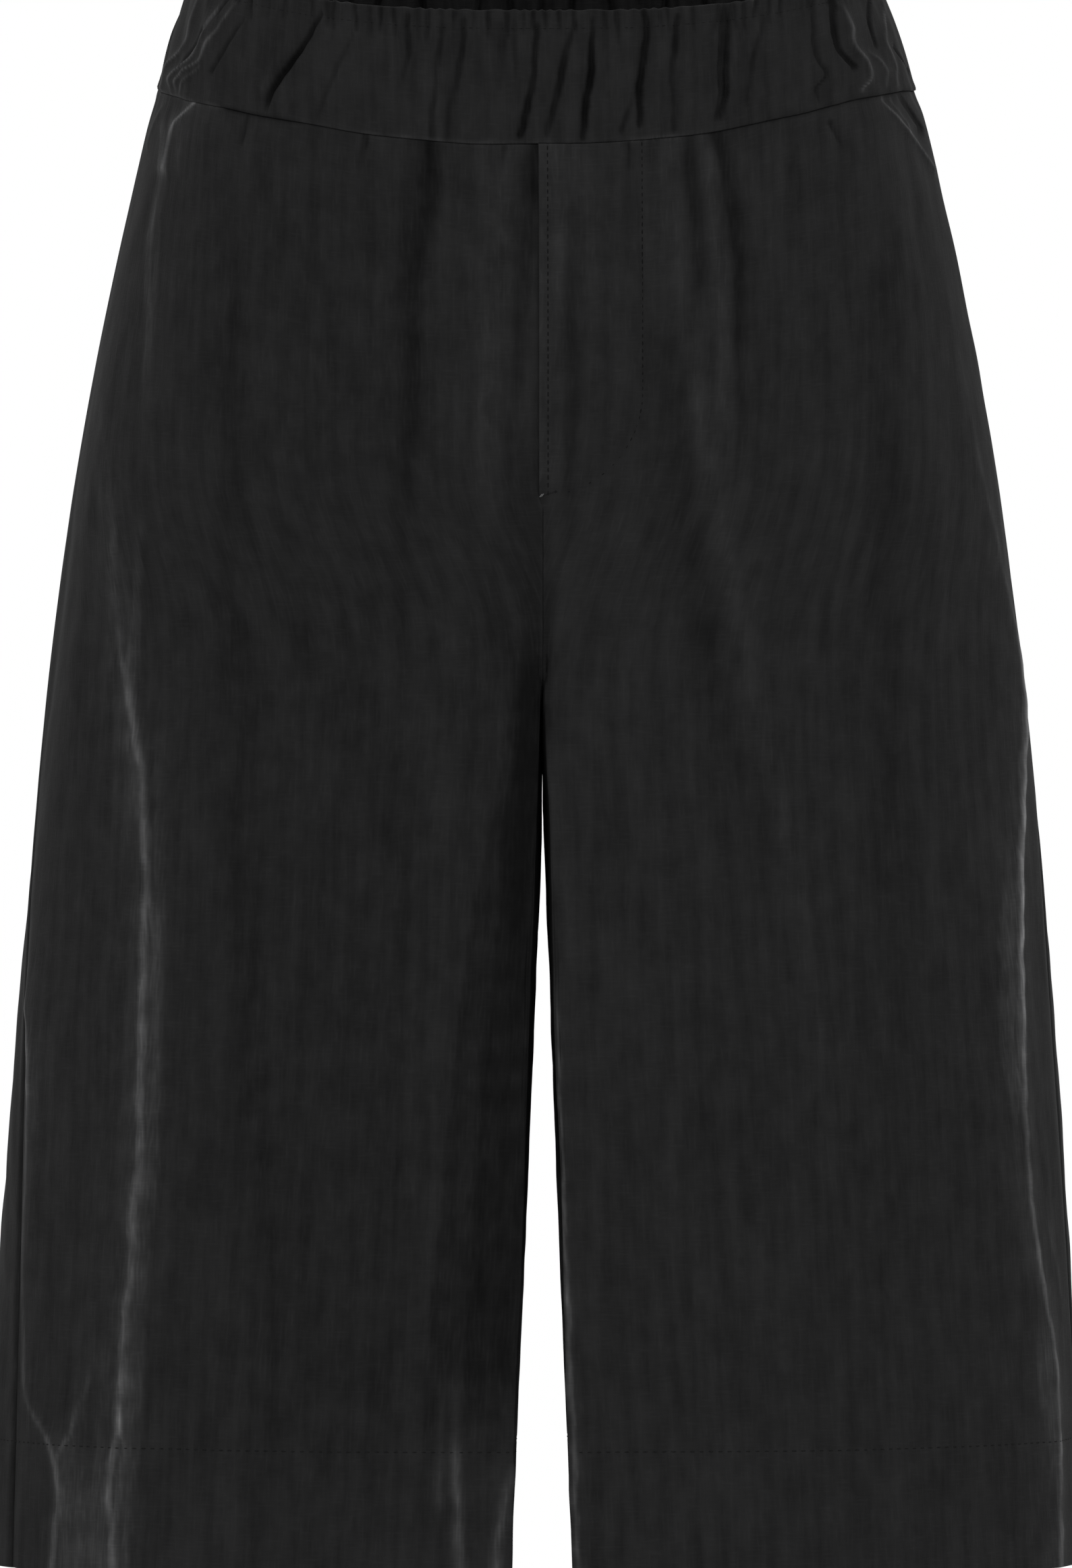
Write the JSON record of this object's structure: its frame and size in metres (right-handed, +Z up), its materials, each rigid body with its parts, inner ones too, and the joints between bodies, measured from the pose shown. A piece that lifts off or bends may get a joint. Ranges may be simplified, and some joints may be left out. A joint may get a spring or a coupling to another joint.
{
  "type": "bermuda shorts",
  "caption": "Wide-leg, knee-length pull-on shorts with a gathered elastic waistband, a stitched mock fly and turned hems, hollow and filled out as worn.",
  "frame": {"origin": "middle of the waistband's loop, halfway up the band at the side seams, where the wearer carries the shorts", "axes": "+Z up, the front faces -Y, +X is the wearer's left"},
  "size_m": [0.408, 0.2523, 0.611],
  "materials": {
    "linen": "matt black linen, plain weave with fine slubs and a soft sheen",
    "band_linen": "the same linen in two layers, gathered over elastic"
  },
  "bodies": {
    "root": {"waistband_front": "band_linen", "waistband_back": "band_linen", "front_left": "linen", "front_right": "linen", "back_left": "linen", "back_right": "linen", "fly_facing": "linen"}
  },
  "joints": []
}
